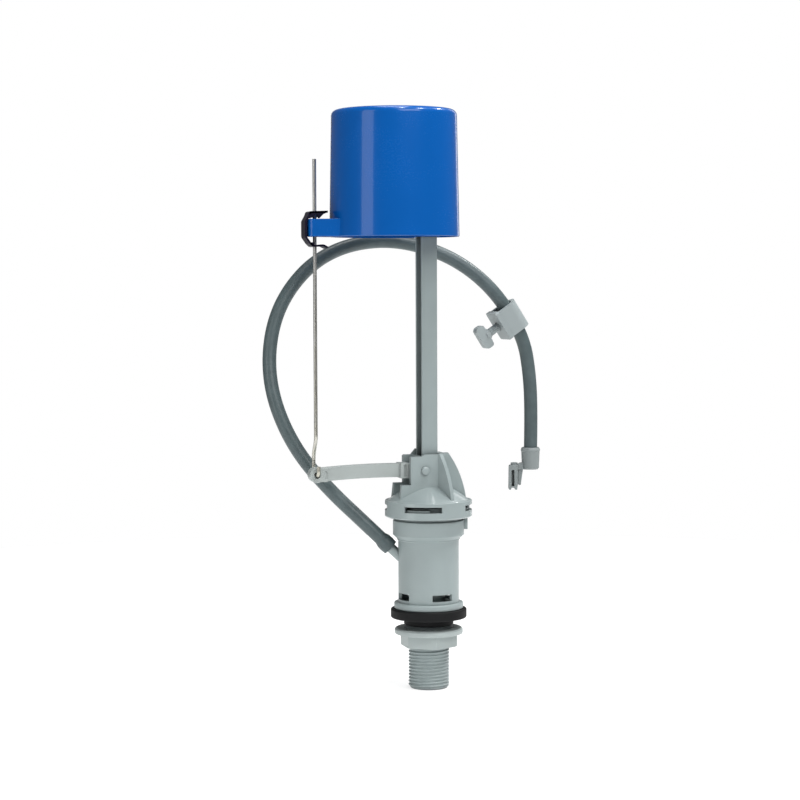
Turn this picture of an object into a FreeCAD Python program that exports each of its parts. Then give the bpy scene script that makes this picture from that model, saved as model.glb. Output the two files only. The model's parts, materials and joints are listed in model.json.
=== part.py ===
import FreeCAD, Part
import math
import os
import re

import Sketcher

# A float-operated toilet fill valve. Millimetres, +Z up. The origin is on the valve's own axis, in
# the plane where its gasket seats on the tank floor. The float lever points to -X, -Y is the front,
# and the refill hose loops round the back to its overflow-pipe clip at +X.

SIZES = {
    # Depth by which the solids of one sub-part run into each other before they are fused
    "overlap": 0.5,
    # Inlet shank, over the crests of its 7/8 inch - 14 thread, and the riser above it
    "crest_radius": 11.11,
    "root_radius": 10.0,
    "shank_bottom": -38.5,
    "shank_chamfer": 1.3,
    "neck_radius": 10.9,
    "neck_bottom": -4.5,
    "relief_top": -16.0,
    "relief_height": 0.6,
    "inlet_bore": 7.2,
    "flange_radius": 18.8,
    "flange_edge": 0.4,
    "flange_bottom": 5.2,
    "flange_top": 8.6,
    "riser_radius": 9.0,
    "riser_bore": 6.2,
    "riser_top": 56.5,
    # Gasket, washer and nut
    "gasket_radius": 20.65,
    "gasket_hub_radius": 13.5,
    "gasket_hub_bottom": -3.8,
    "gasket_edge": 0.9,
    "washer_top_radius": 12.1,
    "washer_radius": 13.5,
    "washer_bottom": -5.5,
    "nut_bore": 11.4,
    "nut_flange_radius": 18.6,
    "nut_flange_bottom": -8.7,
    "nut_bottom": -15.7,
    "nut_across_flats": 27.6,
    "nut_chamfer": 0.8,
    # Casing
    "casing_radius": 16.5,
    "casing_bore": 14.7,
    "taper_bottom": 42.7,
    "collar_bottom": 45.4,
    "collar_top": 53.5,
    "collar_radius": 19.3,
    "casing_neck_radius": 18.2,
    "casing_top": 61.0,
    "outlet_bottom": 10.2,
    "outlet_height": 3.7,
    "outlet_span": 43.0,
    "outlet_first_angle": 81.5,
    "lug_radius": 21.5,
    "lug_bottom": 57.4,
    "lug_height": 2.8,
    "lug_span": 40.0,
    "lug_first_angle": 36.0,
    "tab_angle": -15.0,
    "tab_bottom": 48.0,
    "tab_height": 6.2,
    "tab_depth": 3.0,
    "tab_width": 1.7,
    # Refill nipple
    "nipple_angle": 165.0,
    "nipple_tilt": 43.6,
    "nipple_tip_radius": 21.12,
    "nipple_tip_height": 38.5,
    "nipple_radius": 2.7,
    "nipple_bore": 1.7,
    "nipple_length": 8.6,
    # Screen, restrictor, seat, diaphragm
    "screen_bottom": -22.0,
    "screen_flange": 1.4,
    "screen_radius": 5.6,
    "screen_top": -6.0,
    "screen_wall": 0.9,
    "screen_slot_width": 1.4,
    "screen_slot_height": 11.0,
    "restrictor_bottom": 22.0,
    "restrictor_height": 3.0,
    "restrictor_hole": 2.2,
    "seat_flange_radius": 8.4,
    "seat_flange_height": 0.8,
    "seat_bore": 3.6,
    "seat_tail": 5.0,
    "seat_lip_radius": 4.8,
    "seat_top": 58.4,
    "diaphragm_radius": 18.0,
    "diaphragm_bead_height": 1.9,
    "diaphragm_web": 0.9,
    "diaphragm_centre_radius": 8.6,
    "diaphragm_centre_bottom": 59.1,
    "diaphragm_centre_top": 62.3,
    "stiffener_radius": 7.2,
    "stiffener_height": 0.9,
    # Cap: bayonet ring and dome
    "ring_radius": 23.65,
    "ring_bore": 21.9,
    "ring_bottom": 55.1,
    "ring_top": 64.4,
    "ring_edge": 0.7,
    "ring_roof": 62.6,
    "ring_clamp_face": 63.0,
    "dome_foot_radius": 21.8,
    "dome_bulge": 60.0,
    "dome_crown_radius": 9.2,
    "dome_crown": 72.0,
    "chamber_radius": 14.0,
    "chamber_shoulder": 65.6,
    "chamber_crown": 69.6,
    "ledge_bore": 18.9,
    "ledge_height": 2.0,
    "window_bottom": 59.0,
    "window_height": 3.1,
    "window_span": 51.0,
    "window_first_angle": 41.5,
    # Cap: ears, fins and post socket
    "ear_gap": 12.8,
    "ear_thickness": 3.2,
    "ear_top": 88.4,
    "ear_front": -12.3,
    "ear_back": 6.6,
    "ear_foot_front": -17.5,
    "ear_foot_top": 73.2,
    "ear_base": 64.2,
    "bridge_bottom": 85.7,
    "bridge_front": -7.6,
    "rear_wall_front": 4.6,
    "fin_thickness": 2.2,
    "fin_foot_radius": 20.9,
    "fin_top_radius": 11.0,
    "fin_top": 89.6,
    "fin_root": 8.4,
    "fin_bulge": 55.0,
    "fin_side_angle": 67.0,
    "gusset_height": 3.2,
    "gusset_thickness": 1.8,
    # Guide post
    "post_centre": -0.8,
    "post_width": 8.7,
    "post_depth": 12.5,
    "post_flange": 1.8,
    "post_web": 2.2,
    "post_bottom": 86.3,
    "post_top": 268.0,
    # Lever and its pin
    "pin_x": -4.4,
    "pin_z": 80.8,
    "pin_radius": 2.0,
    "pin_length": 21.2,
    "pin_clearance": 0.08,
    "eye_x": -62.4,
    "eye_z": 79.3,
    "eye_radius": 4.1,
    "eye_slack": 0.75,
    "eye_width": 6.6,
    "eye_block_end": -56.6,
    "bar_width": 5.4,
    "bar_left_top": 83.0,
    "bar_left_bottom": 75.7,
    "bar_right_top": 84.4,
    "bar_right_bottom": 77.1,
    "bar_bow": 420.0,
    "block_front": -16.7,
    "block_back": -11.8,
    "block_width": 10.0,
    "block_bottom": 76.6,
    "block_top": 84.7,
    "groove_width": 1.3,
    "groove_depth": 0.7,
    "hub_radius": 4.2,
    "hub_width": 12.2,
    "tail_end": 2.4,
    "nose_half": 0.9,
    "nose_bottom": 76.9,
    "tail_bottom": 77.9,
    "tail_width": 7.0,
    # Plunger
    "plunger_radius": 2.0,
    "plunger_guide": 2.3,
    "plunger_head_radius": 3.2,
    "plunger_head_height": 1.6,
    "plunger_top": 76.6,
    "plunger_bottom": 64.3,
    "plunger_tube_radius": 4.6,
    "plunger_tube_bottom": 66.4,
    "packing_radius": 0.8,
    "packing_recess": 1.7,
    # Link rod
    "rod_radius": 1.0,
    "rod_top": 247.7,
    "rod_jog_top": 98.0,
    "rod_jog_bottom": 89.5,
    "rod_side": 5.8,
    "rod_stub_side": -6.2,
    "rod_stub_top": 84.2,
    "rod_bend": 2.2,
    "rod_jog_bend": 8.0,
    # Float cup
    "float_x": -18.5,
    "float_bottom": 205.7,
    "float_top": 275.7,
    "float_bottom_radius": 35.0,
    "float_top_radius": 34.3,
    "float_edge": 4.6,
    "float_wall": 1.4,
    "sleeve_clearance": 0.5,
    "sleeve_wall": 1.3,
    "rib_thickness": 1.2,
    "rib_height": 30.0,
    "bracket_end": -65.0,
    "bracket_top": 215.9,
    "bracket_width": 10.2,
    "bracket_hole": 1.35,
    # Spring clip
    "clip_width": 9.4,
    "clip_sheet": 0.9,
    "clip_tip": -56.4,
    "clip_corner": -66.9,
    "clip_bow": -71.1,
    "clip_upper": 219.9,
    "clip_bow_top": 214.4,
    "clip_bow_bottom": 206.6,
    "clip_lower_corner": 201.9,
    "clip_lower_tip": 200.5,
    "clip_ear_bottom": 216.3,
    "clip_hole": 1.4,
    # Refill hose, its clamp and its connector
    "hose_radius": 3.8,
    "clamp_length": 16.4,
    "clamp_bore": 4.3,
    "clamp_outer": 6.4,
    "clamp_depth": 12.8,
    "clamp_inner": -7.4,
    "lip_thickness": 2.4,
    "lip_length": 17.6,
    "lip_depth": 14.4,
    "shoe_thickness": 1.0,
    "shoe_length": 9.0,
    "shoe_width": 6.0,
    "screw_radius": 2.4,
    "screw_hole": 2.7,
    "screw_reach": 13.3,
    "wing_span": 13.6,
    "wing_thickness": 5.0,
    "wing_height": 6.4,
    "connector_height": 12.6,
    "connector_radius": 5.5,
    "connector_foot_radius": 4.8,
    "connector_socket": 3.85,
    "connector_socket_depth": 3.0,
    "connector_bore": 2.4,
    "arm_reach": 6.2,
    "arm_width": 4.4,
    "arm_height": 3.8,
    "hanger_width": 5.3,
    "hanger_depth": 8.4,
    "hanger_height": 15.4,
    "hanger_drop": 1.4,
    "hanger_slot": 2.2,
    "hanger_prong": 2.2,
    "hanger_rib": 1.1,
}

# The hose's centreline, from the nipple to the connector: straight runs, which arcs round off.
HOSE_ROUTE = (
    (-20.4, 5.5, 38.5),
    (-33.8, 9.0, 51.8),
    (-50.6, 13.5, 68.2),
    (-65.9, 17.7, 86.4),
    (-75.6, 21.2, 104.4),
    (-81.3, 24.9, 123.3),
    (-82.0, 29.3, 142.3),
    (-78.0, 32.3, 162.2),
    (-68.7, 34.9, 179.3),
    (-53.5, 39.2, 194.1),
    (-32.6, 44.9, 203.4),
    (-7.1, 47.4, 205.9),
    (18.9, 47.8, 199.8),
    (38.4, 46.1, 189.1),
    (54.2, 43.0, 173.6),
    (69.1, 44.6, 150.7),
    (72.8, 44.5, 129.0),
    (73.2, 43.0, 106.3),
    (72.6, 42.7, 84.9),
)

Vector = FreeCAD.Vector
WORD = re.compile(r"[A-Za-z_]+")

doc = FreeCAD.newDocument("FillValve")
sheet = doc.addObject("Spreadsheet::Sheet", "Dims")
for row, (alias, size) in enumerate(SIZES.items(), start=1):
    sheet.set(f"A{row}", alias)
    sheet.set(f"B{row}", str(size))
    sheet.setAlias(f"B{row}", alias)
doc.recompute()

sub_parts = []


def expression(formula):
    """The formula with each named size written the way the document reads it from the sheet."""
    return WORD.sub(lambda word: "Dims." + word[0] if word[0] in SIZES else word[0], formula)


def value(formula):
    return float(sheet.evalExpression(expression(formula)))


def bind(thing, **formulas):
    for name, formula in formulas.items():
        thing.setExpression(name, expression(formula))


def put(thing, at, rotation=None):
    if rotation:
        thing.Placement = FreeCAD.Placement(Vector(), rotation)
    for letter, formula in zip("xyz", at):
        thing.setExpression("Placement.Base." + letter, expression(formula))
    return thing


def about(axis, degrees):
    return FreeCAD.Rotation(Vector(*axis), degrees)


UPRIGHT = about((0, 0, 1), 0)
ALONG_X = about((0, 1, 0), 90)
ALONG_Y = about((1, 0, 0), -90)
ORIGIN = ("0", "0", "0")


def cylinder(name, radius, length, at=ORIGIN, rotation=UPRIGHT, sweep="360"):
    solid = doc.addObject("Part::Cylinder", name)
    bind(solid, Radius=radius, Height=length, Angle=sweep)
    return put(solid, at, rotation)


def box(name, size, corner, rotation=UPRIGHT):
    solid = doc.addObject("Part::Box", name)
    bind(solid, Length=size[0], Width=size[1], Height=size[2])
    return put(solid, corner, rotation)


def fused(name, *pieces):
    result = doc.addObject("Part::MultiFuse", name)
    result.Shapes = list(pieces)
    return result


def cut(name, base, *tools):
    result = doc.addObject("Part::Cut", name)
    result.Base = base
    result.Tool = tools[0] if len(tools) == 1 else fused(name + "Tools", *tools)
    return result


def ring_sectors(name, inner, outer, bottom, height, first_angle, span):
    """Four equal pieces of a ring, a quarter turn apart."""
    wedges = []
    for quarter in range(4):
        start = about((0, 0, 1), value(first_angle) + 90 * quarter)
        wedge = cylinder(f"{name}Wedge{quarter}", outer, height, ("0", "0", bottom), start, span)
        wedges.append(wedge)
    hub = cylinder(name + "Hub", inner, height, ("0", "0", bottom))
    return cut(name, fused(name + "Wedges", *wedges), hub)


def outline(body, plane, corners):
    """A closed sketch. A corner is (x, y), or (x, y, radius) where an arc leads to the next one.

    Corners run anticlockwise. A positive radius bulges outward, a negative one inward.
    """
    sketch = body.newObject("Sketcher::SketchObject", body.Name + "Outline")
    origin_plane = next(item for item in body.Origin.OriginFeatures if item.Role == plane)
    sketch.AttachmentSupport = [(origin_plane, "")]
    sketch.MapMode = "FlatFace"
    points = [Vector(value(corner[0]), value(corner[1]), 0) for corner in corners]
    begins = []
    for index, corner in enumerate(corners):
        begin = points[index]
        end = points[(index + 1) % len(points)]
        begins.append(1)
        if len(corner) == 2:
            sketch.addGeometry(Part.LineSegment(begin, end), False)
            continue
        radius = value(corner[2])
        chord = end - begin
        sagitta = abs(radius) - math.sqrt(radius**2 - (chord.Length / 2) ** 2)
        outward = Vector(chord.y, -chord.x, 0).normalize()
        middle = (begin + end) * 0.5 + outward * math.copysign(sagitta, radius)
        if radius > 0:
            sketch.addGeometry(Part.Arc(begin, middle, end), False)
        else:
            sketch.addGeometry(Part.Arc(end, middle, begin), False)
            begins[-1] = 2
    for index, corner in enumerate(corners):
        following = (index + 1) % len(corners)
        finish = 3 - begins[index]
        sketch.addConstraint(
            Sketcher.Constraint("Coincident", index, finish, following, begins[following])
        )
        if len(corner) == 3:
            radius = abs(value(corner[2]))
            number = sketch.addConstraint(Sketcher.Constraint("Radius", index, radius))
            sketch.setExpression(f"Constraints[{number}]", expression(f"abs({corner[2]})"))
        for kind, place, formula in (
            ("DistanceX", points[index].x, corner[0]),
            ("DistanceY", points[index].y, corner[1]),
        ):
            rule = Sketcher.Constraint(kind, -1, 1, index, begins[index], place)
            number = sketch.addConstraint(rule)
            sketch.setExpression(f"Constraints[{number}]", expression(formula))
    return sketch


def turned(name, corners):
    """A body of revolution about its own Z axis, from an outline of (radius, height) corners."""
    body = doc.addObject("PartDesign::Body", name)
    sketch = outline(body, "XZ_Plane", corners)
    spin = body.newObject("PartDesign::Revolution", name + "Turn")
    spin.Profile = sketch
    spin.ReferenceAxis = (sketch, ["V_Axis"])
    spin.Angle = 360
    return body


def plate(name, corners, thickness, plane="XZ_Plane"):
    """A plate of that outline, centred on its plane."""
    body = doc.addObject("PartDesign::Body", name)
    sketch = outline(body, plane, corners)
    pad = body.newObject("PartDesign::Pad", name + "Pad")
    pad.Profile = sketch
    pad.Midplane = True
    bind(pad, Length=thickness)
    return body


def rounded_path(points, radii):
    """One wire of straight runs, joined by tangent arcs of the given radii."""
    edges = []
    begin = points[0]
    for index, radius in enumerate(radii, start=1):
        back = (points[index - 1] - points[index]).normalize()
        ahead = (points[index + 1] - points[index]).normalize()
        half_turn = (math.pi - back.getAngle(ahead)) / 2
        trim = radius * math.tan(half_turn)
        start = points[index] + back * trim
        finish = points[index] + ahead * trim
        to_centre = (back + ahead).normalize()
        middle = points[index] + to_centre * (radius / math.cos(half_turn) - radius)
        edges.append(Part.LineSegment(begin, start).toShape())
        edges.append(Part.Arc(start, middle, finish).toShape())
        begin = finish
    edges.append(Part.LineSegment(begin, points[-1]).toShape())
    return Part.Wire(edges)


def pipe(name, points, radii, radius):
    """A round bar or tube along a rounded path."""
    path = doc.addObject("Part::Feature", name + "Path")
    path.Shape = rounded_path(points, radii)
    section = doc.addObject("Part::Circle", name + "Section")
    bind(section, Radius=radius)
    heading = points[1] - points[0]
    section.Placement = FreeCAD.Placement(points[0], FreeCAD.Rotation(Vector(0, 0, 1), heading))
    sweep = doc.addObject("Part::Sweep", name)
    sweep.Sections = [section]
    sweep.Spine = (path, [])
    sweep.Solid = True
    sweep.Frenet = False
    return sweep


def sub_part(label, thing):
    thing.Label = label
    sub_parts.append(thing)
    return thing


def inlet_shank():
    """Shank, plain over the crests of its thread, the flange that presses the gasket, and the riser."""
    sub_part("inlet_shank", turned("InletShank", (
        ("inlet_bore", "shank_bottom"),
        ("crest_radius - shank_chamfer", "shank_bottom"),
        ("crest_radius", "shank_bottom + shank_chamfer"),
        ("crest_radius", "relief_top - relief_height"),
        ("root_radius", "relief_top - relief_height"),
        ("root_radius", "relief_top"),
        ("crest_radius", "relief_top"),
        ("crest_radius", "neck_bottom - (crest_radius - neck_radius)"),
        ("neck_radius", "neck_bottom"),
        ("neck_radius", "flange_bottom"),
        ("flange_radius - flange_edge", "flange_bottom"),
        ("flange_radius", "flange_bottom + flange_edge"),
        ("flange_radius", "flange_top - flange_edge"),
        ("flange_radius - flange_edge", "flange_top"),
        ("riser_radius", "flange_top"),
        ("riser_radius", "riser_top"),
        ("riser_bore", "riser_top"),
        ("riser_bore", "flange_bottom"),
        ("inlet_bore", "flange_bottom - (inlet_bore - riser_bore)"),
    )))


def casing():
    """Outer tube of the valve with its outlet windows, collar, bayonet lugs and refill nipple."""
    tube = turned("CasingTube", (
        ("casing_bore", "flange_top"),
        ("casing_radius", "flange_top"),
        ("casing_radius", "taper_bottom"),
        ("collar_radius", "collar_bottom"),
        ("collar_radius", "collar_top - 0.4"),
        ("collar_radius - 0.4", "collar_top"),
        ("casing_neck_radius", "collar_top"),
        ("casing_neck_radius", "casing_top"),
        ("casing_bore", "casing_top"),
    ))
    lugs = ring_sectors(
        "Lugs", "casing_neck_radius - 1", "lug_radius", "lug_bottom", "lug_height",
        "lug_first_angle", "lug_span",
    )
    tab = box(
        "Tab",
        ("tab_depth", "tab_width", "tab_height"),
        ("(collar_radius - 1) * cos(tab_angle * 1deg)", "(collar_radius - 1) * sin(tab_angle * 1deg)",
         "tab_bottom"),
        about((0, 0, 1), value("tab_angle")),
    )
    lean = about((0, 0, 1), value("nipple_angle")).multiply(
        about((0, 1, 0), 90 - value("nipple_tilt"))
    )
    back = "nipple_tip_radius - nipple_length * cos(nipple_tilt * 1deg)"
    root = (
        f"({back}) * cos(nipple_angle * 1deg)",
        f"({back}) * sin(nipple_angle * 1deg)",
        "nipple_tip_height - nipple_length * sin(nipple_tilt * 1deg)",
    )
    nipple = cylinder("Nipple", "nipple_radius", "nipple_length", root, lean)
    nipple_bore = cylinder("NippleBore", "nipple_bore", "nipple_length", root, lean)
    clear_bore = cylinder("CasingClear", "casing_bore", "casing_top - flange_top",
                          ("0", "0", "flange_top"))
    windows = ring_sectors(
        "Outlets", "casing_bore - 2", "casing_radius + 1", "outlet_bottom", "outlet_height",
        "outlet_first_angle", "outlet_span",
    )
    solid = fused("CasingSolid", tube, lugs, tab, nipple)
    sub_part("valve_casing", cut("Casing", solid, clear_bore, nipple_bore, windows))


def seat_parts():
    """Screen and restrictor in the supply bore, and the seat that the diaphragm closes."""
    cup = turned("ScreenCup", (
        ("screen_radius - screen_wall", "screen_bottom"),
        ("inlet_bore", "screen_bottom"),
        ("inlet_bore", "screen_bottom + screen_flange"),
        ("screen_radius", "screen_bottom + screen_flange"),
        ("screen_radius", "screen_top"),
        ("0", "screen_top"),
        ("0", "screen_top - screen_wall"),
        ("screen_radius - screen_wall", "screen_top - screen_wall"),
    ))
    slots = []
    half = "screen_slot_width / 2"
    reach = "1.5 * screen_radius"
    for index in range(4):
        turn = f"{45 * index}deg"
        slots.append(box(
            f"ScreenSlot{index}",
            (f"2 * {reach}", "screen_slot_width", "screen_slot_height"),
            (
                f"-{reach} * cos({turn}) + {half} * sin({turn})",
                f"-{reach} * sin({turn}) - {half} * cos({turn})",
                "screen_bottom + 2 * screen_flange",
            ),
            about((0, 0, 1), 45 * index),
        ))
    sub_part("inlet_screen", cut("Screen", cup, *slots))

    sub_part("flow_restrictor", turned("Restrictor", (
        ("restrictor_hole", "restrictor_bottom"),
        ("riser_bore", "restrictor_bottom"),
        ("riser_bore", "restrictor_bottom + restrictor_height"),
        ("restrictor_hole + 1.5", "restrictor_bottom + restrictor_height"),
        ("restrictor_hole", "restrictor_bottom + restrictor_height - 1.5"),
    )))
    sub_part("valve_seat", turned("Seat", (
        ("seat_bore", "riser_top - seat_tail"),
        ("riser_bore", "riser_top - seat_tail"),
        ("riser_bore", "riser_top"),
        ("seat_flange_radius", "riser_top"),
        ("seat_flange_radius", "riser_top + seat_flange_height"),
        ("seat_lip_radius + 0.6", "riser_top + seat_flange_height"),
        ("seat_lip_radius", "seat_top"),
        ("seat_lip_radius - 0.6", "seat_top"),
        ("seat_bore", "riser_top"),
    )))


def diaphragm_parts():
    """Rubber diaphragm held by its rim bead, and the hard disc that stiffens its centre."""
    web_bottom = "casing_top + 0.3"
    web_top = "casing_top + 0.3 + diaphragm_web"
    sub_part("diaphragm", turned("Diaphragm", (
        ("0", "diaphragm_centre_bottom"),
        ("diaphragm_centre_radius - 0.5", "diaphragm_centre_bottom"),
        ("diaphragm_centre_radius", "diaphragm_centre_bottom + 0.5"),
        ("diaphragm_centre_radius", web_bottom),
        ("casing_bore + 0.2", web_bottom),
        ("casing_bore + 0.2", "casing_top"),
        ("diaphragm_radius", "casing_top"),
        ("diaphragm_radius", "casing_top + diaphragm_bead_height"),
        ("casing_bore + 0.2", "casing_top + diaphragm_bead_height"),
        ("casing_bore + 0.2", web_top),
        ("diaphragm_centre_radius", web_top),
        ("diaphragm_centre_radius - 0.2", "diaphragm_centre_top"),
        ("0", "diaphragm_centre_top"),
    )))
    stiffener = cylinder(
        "Stiffener", "stiffener_radius", "stiffener_height", ("0", "0", "diaphragm_centre_top")
    )
    sub_part("diaphragm_stiffener", stiffener)


def tank_fasteners():
    """Gasket above the tank floor, friction washer and flanged hexagon nut below it."""
    edge = "gasket_edge"
    sub_part("tank_gasket", turned("Gasket", (
        ("neck_radius", "gasket_hub_bottom"),
        ("gasket_hub_radius - 0.5", "gasket_hub_bottom"),
        ("gasket_hub_radius", "gasket_hub_bottom + 0.5"),
        ("gasket_hub_radius", "0"),
        (f"gasket_radius - {edge}", "0", edge),
        ("gasket_radius", edge),
        ("gasket_radius", f"flange_bottom - {edge}", edge),
        (f"gasket_radius - {edge}", "flange_bottom"),
        ("neck_radius", "flange_bottom"),
    )))
    sub_part("friction_washer", turned("Washer", (
        ("nut_bore", "washer_bottom"),
        ("washer_radius", "washer_bottom"),
        ("washer_radius", "washer_bottom + 0.3"),
        ("washer_top_radius", "gasket_hub_bottom - 0.05"),
        ("nut_bore", "gasket_hub_bottom - 0.05"),
    )))
    flange = turned("NutFlange", (
        ("nut_bore", "nut_flange_bottom"),
        ("nut_flange_radius - 0.3", "nut_flange_bottom"),
        ("nut_flange_radius", "nut_flange_bottom + 0.3"),
        ("nut_flange_radius", "washer_bottom - nut_chamfer"),
        ("nut_flange_radius - nut_chamfer", "washer_bottom"),
        ("nut_bore", "washer_bottom"),
    ))
    corner = "nut_across_flats / sqrt(3)"
    hexagon = doc.addObject("Part::Prism", "NutHexagon")
    hexagon.Polygon = 6
    bind(hexagon, Circumradius=corner, Height="nut_flange_bottom - nut_bottom")
    put(hexagon, ("0", "0", "nut_bottom"), about((0, 0, 1), 30))
    edge_cone = turned("NutEdgeCone", (
        ("0", "nut_bottom"),
        (f"{corner} - nut_chamfer", "nut_bottom"),
        (f"{corner} + nut_chamfer", "nut_bottom + nut_chamfer"),
        (f"{corner} + nut_chamfer", "nut_flange_bottom"),
        ("0", "nut_flange_bottom"),
    ))
    chamfered = doc.addObject("Part::MultiCommon", "NutChamfered")
    chamfered.Shapes = [hexagon, edge_cone]
    bore = cylinder("NutBore", "nut_bore", "washer_bottom - nut_bottom", ("0", "0", "nut_bottom"))
    sub_part("lock_nut", cut("LockNut", fused("NutSolid", chamfered, flange), bore))


def cap():
    """Bayonet ring and dome with the ears that carry the lever, three fins and the post's foot."""
    shell = turned("CapShell", (
        ("0", "ring_bottom"),
        ("ring_radius - ring_edge", "ring_bottom"),
        ("ring_radius", "ring_bottom + ring_edge"),
        ("ring_radius", "ring_top - ring_edge", "ring_edge"),
        ("ring_radius - ring_edge", "ring_top"),
        ("dome_foot_radius", "ring_top + 0.1", "dome_bulge"),
        ("dome_crown_radius", "dome_crown"),
        ("0", "dome_crown"),
    ))
    ear_outline = (
        ("ear_foot_front - 1", "ear_base"),
        ("ear_back + 2.5", "ear_base"),
        ("ear_back", "ear_top + 1"),
        ("-4", "ear_top + 1"),
        ("-6.5", "ear_top"),
        ("ear_front + 0.6", "ear_top"),
        ("ear_front", "ear_top - 0.6"),
        ("ear_front", "ear_foot_top"),
        ("ear_foot_front", "ear_foot_top"),
    )
    raised = [shell]
    for side in (-1, 1):
        ear = plate(f"Ear{side + 1}", ear_outline, "ear_thickness")
        raised.append(put(ear, ("0", f"{side} * (ear_gap + ear_thickness) / 2", "0")))
    fin_outline = (
        ("fin_root", "ear_base"),
        ("fin_foot_radius", "ear_base"),
        ("fin_foot_radius", "ring_top + 1", "fin_bulge"),
        ("fin_top_radius", "fin_top"),
        ("fin_root", "fin_top"),
    )
    for index, direction in enumerate((-1, 0, 1)):
        fin = plate(f"Fin{index}", fin_outline, "fin_thickness")
        fin.Placement = FreeCAD.Placement(
            Vector(), about((0, 0, 1), direction * value("fin_side_angle"))
        )
        raised.append(fin)
    width = "ear_gap + ear_thickness"
    raised.append(box(
        "RearWall",
        ("ear_back + 2 - rear_wall_front", width, "fin_top - ear_base"),
        ("rear_wall_front", f"-({width}) / 2", "ear_base"),
    ))
    raised.append(box(
        "Bridge",
        ("ear_back - bridge_front", width, "ear_top - bridge_bottom"),
        ("bridge_front", f"-({width}) / 2", "bridge_bottom"),
    ))
    gusset = plate("Gusset", (
        ("post_centre - post_width / 2 - gusset_height", "ear_top - overlap"),
        ("post_centre - post_width / 2 + overlap", "ear_top - overlap"),
        ("post_centre - post_width / 2 + overlap", "ear_top + gusset_height"),
        ("post_centre - post_width / 2 - 0.2", "ear_top + gusset_height"),
    ), "gusset_thickness")
    raised.append(put(gusset, ("0", "post_depth / 2 + overlap + gusset_thickness / 2", "0")))

    chamber = turned("Chamber", (
        ("0", "ring_bottom - 1"),
        ("ring_bore", "ring_bottom - 1"),
        ("ring_bore", "ring_roof"),
        ("casing_neck_radius + 0.2", "ring_roof"),
        ("casing_neck_radius + 0.2", "ring_clamp_face"),
        ("chamber_radius", "ring_clamp_face"),
        ("chamber_radius", "chamber_shoulder"),
        ("dome_crown_radius", "chamber_crown"),
        ("0", "chamber_crown"),
    ))
    windows = ring_sectors(
        "Windows", "ring_bore - 1", "ring_radius + 1", "window_bottom", "window_height",
        "window_first_angle", "window_span",
    )
    pin_hole = cylinder(
        "PinHole", "pin_radius", "2 * ear_gap", ("pin_x", "-ear_gap", "pin_z"), ALONG_Y
    )
    post_socket = box(
        "PostSocket",
        ("post_width", "post_depth", "fin_top - post_bottom + 1"),
        ("post_centre - post_width / 2", "-post_depth / 2", "post_bottom"),
    )
    hollow = cut("CapHollow", fused("CapRaised", *raised), chamber, windows, pin_hole, post_socket)
    tube = cylinder(
        "PlungerTube", "plunger_tube_radius", "chamber_crown - plunger_tube_bottom + 0.5",
        ("0", "0", "plunger_tube_bottom"),
    )
    ledges = ring_sectors(
        "Ledges", "ledge_bore", "ring_bore + 0.6", "ring_bottom", "ledge_height",
        "lug_first_angle", "lug_span",
    )
    guide = cylinder(
        "PlungerGuide", "plunger_guide", "dome_crown - plunger_tube_bottom + 1",
        ("0", "0", "plunger_tube_bottom"),
    )
    recess = cylinder(
        "PackingRecess", "plunger_radius + 0.05 + 2 * packing_radius", "packing_recess + 1",
        ("0", "0", "dome_crown - packing_recess"),
    )
    sub_part("cap", cut("Cap", fused("CapWhole", hollow, tube, ledges), guide, recess))


def plunger_parts():
    sub_part("plunger", turned("Plunger", (
        ("0", "plunger_bottom"),
        ("plunger_radius - 0.3", "plunger_bottom"),
        ("plunger_radius", "plunger_bottom + 0.3"),
        ("plunger_radius", "plunger_top - plunger_head_height"),
        ("plunger_head_radius", "plunger_top - plunger_head_height"),
        ("plunger_head_radius", "plunger_top - 0.4"),
        ("plunger_head_radius - 0.4", "plunger_top"),
        ("0", "plunger_top"),
    )))
    packing = doc.addObject("Part::Torus", "Packing")
    bind(packing, Radius1="plunger_radius + 0.05 + packing_radius", Radius2="packing_radius")
    put(packing, ("0", "0", "dome_crown - packing_recess + packing_radius"))
    sub_part("plunger_packing", packing)


def guide_post():
    """H-section post: two flanges across Y, joined by a web."""
    half_width = "post_width / 2"
    half_depth = "post_depth / 2"
    inner = "(post_depth / 2 - post_flange)"
    web = "post_web / 2"
    section = (
        (f"-{half_width}", f"-{half_depth}"),
        (half_width, f"-{half_depth}"),
        (half_width, f"-{inner}"),
        (web, f"-{inner}"),
        (web, inner),
        (half_width, inner),
        (half_width, half_depth),
        (f"-{half_width}", half_depth),
        (f"-{half_width}", inner),
        (f"-{web}", inner),
        (f"-{web}", f"-{inner}"),
        (f"-{half_width}", f"-{inner}"),
    )
    post = plate("Post", section, "post_top - post_bottom", "XY_Plane")
    put(post, ("post_centre", "0", "(post_top + post_bottom) / 2"))
    sub_part("guide_post", post)


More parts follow.
